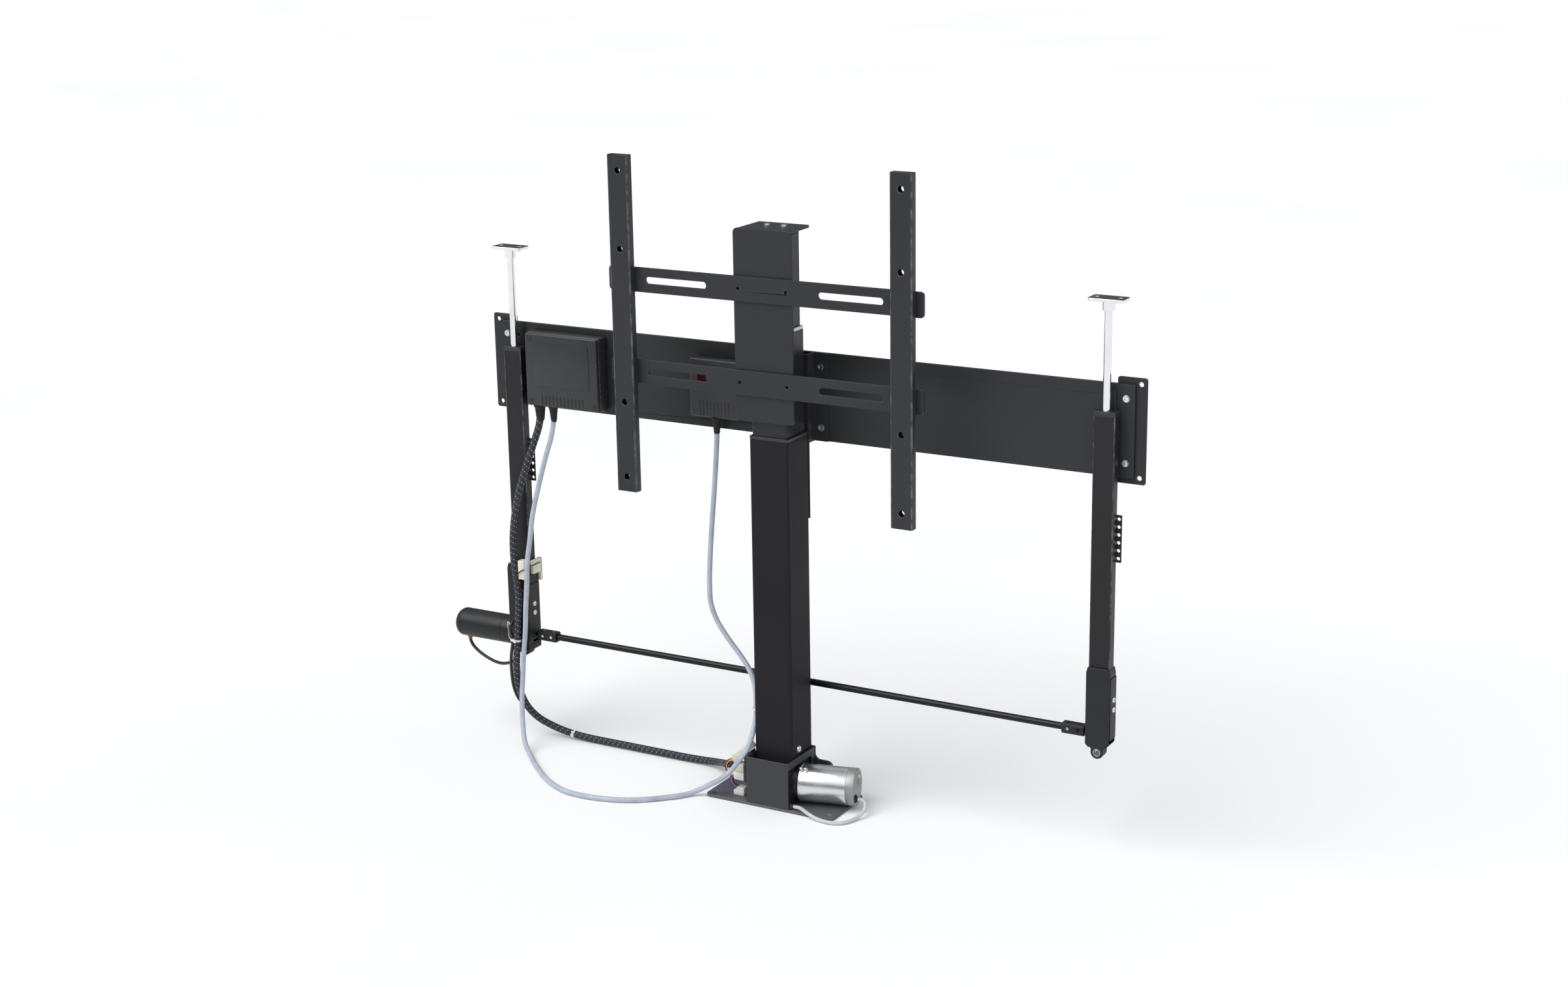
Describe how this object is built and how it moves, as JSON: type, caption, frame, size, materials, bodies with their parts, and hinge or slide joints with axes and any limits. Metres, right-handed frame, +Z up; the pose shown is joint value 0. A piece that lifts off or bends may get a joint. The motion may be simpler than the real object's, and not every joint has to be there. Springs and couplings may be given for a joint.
{
  "type": "tv lift mechanism",
  "caption": "Telescopic lifting column on a base plate with a screen bracket, rear rail and shaft-linked lid actuators, raising a flat screen out of a cabinet.",
  "frame": {"origin": "centre of the base plate underside, on the axis of the lifting column", "axes": "+X to the right seen from the screen side, +Y to the back, towards the rear rail, +Z up along the column"},
  "size_m": [1.025, 0.1855, 0.85],
  "materials": {
    "powder_black": "satin black powder coat",
    "cast_black": "black coated casting",
    "cast_grey": "as-cast grey alloy",
    "zinc": "bright zinc plate",
    "steel": "ground steel",
    "rod_chrome": "hard chrome",
    "bronze": "turned bronze",
    "black_plastic": "moulded black",
    "black_rubber": "moulded black rubber",
    "glide_nylon": "natural nylon",
    "cream_plastic": "cream moulding",
    "wire_skin": "coloured wire insulation",
    "grey_skin": "light grey cable jacket",
    "black_skin": "black cable jacket",
    "braid": "black braid with pale flecks"
  },
  "bodies": {
    "frame": {"base_plate": "powder_black", "base_housing": "powder_black", "rear_gusset": "powder_black", "outer_column": "powder_black", "column_collar": "black_plastic", "gearbox_body": "cast_grey", "gearbox_cover": "cast_grey", "gear_bearings": "steel", "motor_can": "zinc", "motor_end_cap": "cast_grey", "cable_grommet": "black_rubber", "frame_screws": "zinc", "cross_rail": "powder_black", "end_plates": "powder_black", "column_clamp": "powder_black", "actuator_straps": "powder_black", "left_gear_housing": "cast_black", "right_gear_housing": "cast_black", "side_covers": "powder_black", "actuator_tubes": "powder_black", "rod_guides": "black_plastic", "tube_strips": "powder_black", "lug_bushes": "steel", "spindle_bearings": "steel", "lid_motor": "cast_black", "control_box": "black_plastic", "receiver_box": "black_plastic", "connectors": "cream_plastic", "connector_clip": "black_plastic", "connector_wires": "wire_skin", "cable_ties": "glide_nylon", "grey_cable": "grey_skin", "braided_sleeve": "braid", "lid_motor_cable": "black_skin", "lift_motor_cable": "grey_skin"},
    "middle_stage": {"middle_tube": "powder_black", "middle_foot": "cast_grey", "lift_nut": "bronze", "middle_glides": "glide_nylon", "stage_bearing": "bronze"},
    "inner_stage": {"inner_tube": "powder_black", "inner_foot": "cast_grey", "stage_nut": "bronze", "inner_glide": "glide_nylon", "head_cap": "powder_black", "spine": "powder_black", "cross_bars": "powder_black", "left_arm": "powder_black", "right_arm": "powder_black", "bracket_screws": "zinc"},
    "lift_screw_set": {"lift_screw": "steel", "worm_wheel": "bronze"},
    "stage_screw_set": {"stage_screw": "steel"},
    "worm_set": {"worm_shaft": "steel"},
    "left_rod_set": {"left_rod": "rod_chrome"},
    "right_rod_set": {"right_rod": "rod_chrome"},
    "left_spindle_set": {"left_spindle": "steel"},
    "right_spindle_set": {"right_spindle": "steel"},
    "cross_shaft_set": {"cross_shaft": "cast_black", "shaft_couplers": "cast_black"}
  },
  "joints": [
    {"name": "lift_slide", "type": "slide", "parent": "frame", "child": "middle_stage", "axis": [0, 0, 1], "range_m": [-0.115, 0.21]},
    {"name": "stage_slide", "type": "slide", "parent": "middle_stage", "child": "inner_stage", "axis": [0, 0, 1], "range_m": [-0.115, 0.21]},
    {"name": "lift_screw_spin", "type": "hinge", "parent": "frame", "child": "lift_screw_set", "pos_m": [0, 0, 0.2], "axis": [0, 0, 1], "range_deg": [-3786, 2076]},
    {"name": "stage_screw_spin", "type": "hinge", "parent": "middle_stage", "child": "stage_screw_set", "pos_m": [0, 0, 0.4], "axis": [0, 0, 1], "range_deg": [-3786, 2076]},
    {"name": "worm_spin", "type": "hinge", "parent": "frame", "child": "worm_set", "pos_m": [0.00376, -0.01555, 0.0305], "axis": [0.972, 0.2351, 0], "range_deg": [-12426, 22686]},
    {"name": "lid_slide", "type": "slide", "parent": "frame", "child": "left_rod_set", "axis": [0, 0, 1], "range_m": [-0.11, 0.14]},
    {"name": "right_lid_slide", "type": "slide", "parent": "frame", "child": "right_rod_set", "axis": [0, 0, 1], "range_m": [-0.11, 0.14]},
    {"name": "left_spindle_spin", "type": "hinge", "parent": "frame", "child": "left_spindle_set", "pos_m": [-0.432, 0.035, 0.3], "axis": [0, 0, 1], "range_deg": [-3155, 2480]},
    {"name": "right_spindle_spin", "type": "hinge", "parent": "frame", "child": "right_spindle_set", "pos_m": [0.432, 0.035, 0.3], "axis": [0, 0, 1], "range_deg": [-3155, 2480]},
    {"name": "cross_shaft_spin", "type": "hinge", "parent": "frame", "child": "cross_shaft_set", "pos_m": [0, 0.035, 0.155], "axis": [1, 0, 0], "range_deg": [-3155, 2480]}
  ],
  "couplings": [
    {"joint": "stage_slide", "follows": "lift_slide", "ratio": 1},
    {"joint": "lift_screw_spin", "follows": "lift_slide", "rad_per_m": -314.16},
    {"joint": "stage_screw_spin", "follows": "lift_slide", "rad_per_m": -314.16},
    {"joint": "worm_spin", "follows": "lift_slide", "rad_per_m": 1885},
    {"joint": "right_lid_slide", "follows": "lid_slide", "ratio": 1},
    {"joint": "left_spindle_spin", "follows": "lid_slide", "rad_per_m": -392.7},
    {"joint": "right_spindle_spin", "follows": "lid_slide", "rad_per_m": -392.7},
    {"joint": "cross_shaft_spin", "follows": "lid_slide", "rad_per_m": -392.7}
  ]
}
